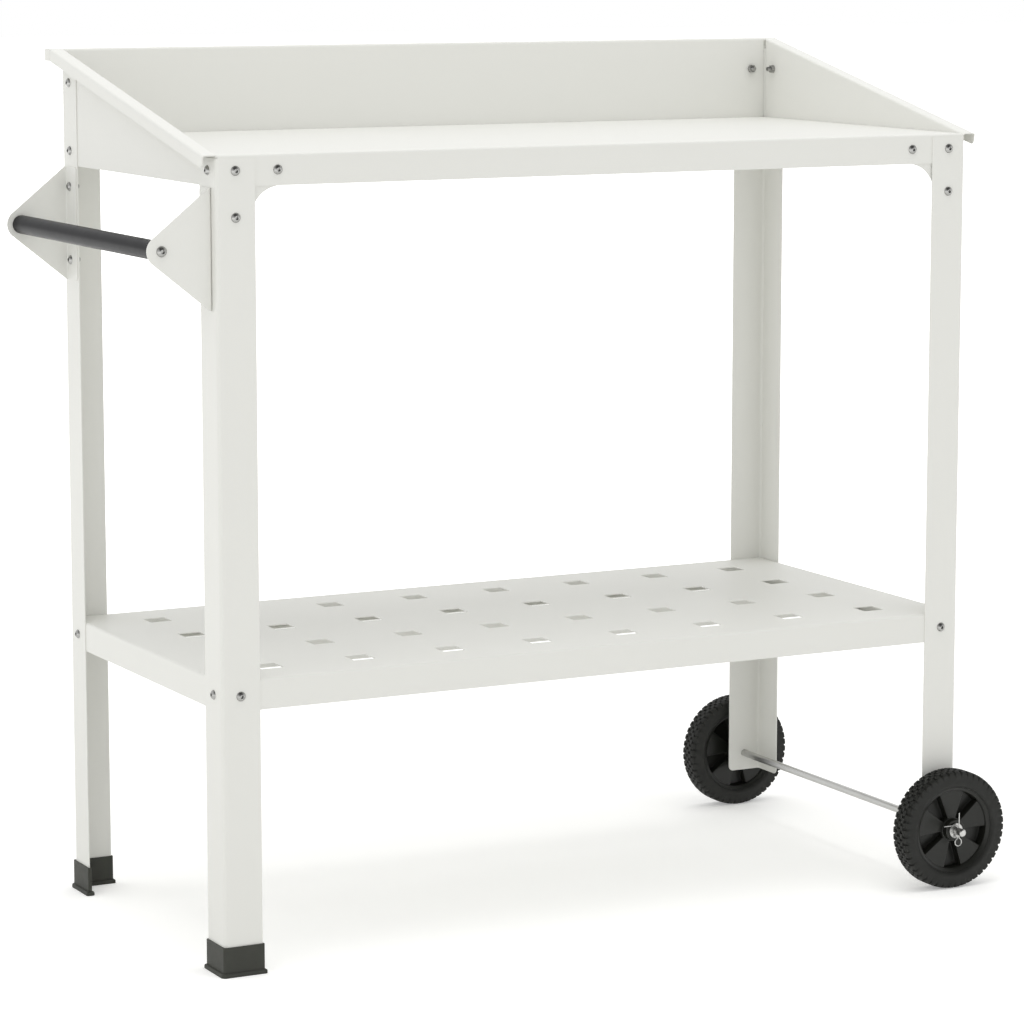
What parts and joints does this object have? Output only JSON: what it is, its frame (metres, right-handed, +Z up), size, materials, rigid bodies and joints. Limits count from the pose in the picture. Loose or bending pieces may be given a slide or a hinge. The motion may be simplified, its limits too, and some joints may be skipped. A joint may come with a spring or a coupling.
{
  "type": "rolling plant table",
  "caption": "Folded steel potting table with a rimmed tray, a pierced lower shelf, wheels at one end and a pull handle at the other.",
  "frame": {"origin": "middle of the overall box, on the floor", "axes": "+X along the table towards the wheels, +Y from the open front to the back guard, +Z up"},
  "size_m": [0.949, 0.498, 0.88],
  "materials": {
    "white_powder_coat": "fine satin powder coat on folded steel sheet",
    "zinc_plated_steel": "bright zinc plate",
    "bright_steel": "bright drawn steel",
    "grip_plastic": "fine moulded grain",
    "foot_plastic": "fine moulded grain",
    "hub_plastic": "fine moulded grain",
    "tyre_rubber": "matt moulded rubber"
  },
  "bodies": {
    "table": {"front_left_leg": "white_powder_coat", "front_right_leg": "white_powder_coat", "back_left_leg": "white_powder_coat", "back_right_leg": "white_powder_coat", "tray_panel": "white_powder_coat", "left_guard": "white_powder_coat", "right_guard": "white_powder_coat", "back_guard": "white_powder_coat", "front_left_gusset": "white_powder_coat", "front_right_gusset": "white_powder_coat", "lower_shelf": "white_powder_coat", "shelf_stiffener": "white_powder_coat", "front_handle_bracket": "white_powder_coat", "back_handle_bracket": "white_powder_coat", "tray_bolts": "zinc_plated_steel", "tray_nuts": "zinc_plated_steel", "gusset_bolts": "zinc_plated_steel", "gusset_nuts": "zinc_plated_steel", "shelf_bolts": "zinc_plated_steel", "shelf_nuts": "zinc_plated_steel", "bracket_bolts": "zinc_plated_steel", "bracket_nuts": "zinc_plated_steel", "handle_screws": "zinc_plated_steel", "handle_plugs": "zinc_plated_steel", "handle_grip": "grip_plastic", "front_foot": "foot_plastic", "back_foot": "foot_plastic"},
    "axle": {"wheel_axle": "bright_steel", "axle_washers": "bright_steel", "split_pins": "bright_steel"},
    "front_wheel": {"front_wheel_hub": "hub_plastic", "front_tyre": "tyre_rubber"},
    "rear_wheel": {"rear_wheel_hub": "hub_plastic", "rear_tyre": "tyre_rubber"}
  },
  "joints": [
    {"name": "axle_spin", "type": "hinge", "parent": "table", "child": "axle", "pos_m": [0.4115, 0, 0.063], "axis": [0, 1, 0], "continuous": true},
    {"name": "front_wheel_spin", "type": "hinge", "parent": "axle", "child": "front_wheel", "pos_m": [0.4115, -0.221, 0.063], "axis": [0, 1, 0], "continuous": true},
    {"name": "rear_wheel_spin", "type": "hinge", "parent": "axle", "child": "rear_wheel", "pos_m": [0.4115, 0.221, 0.063], "axis": [0, 1, 0], "continuous": true}
  ]
}
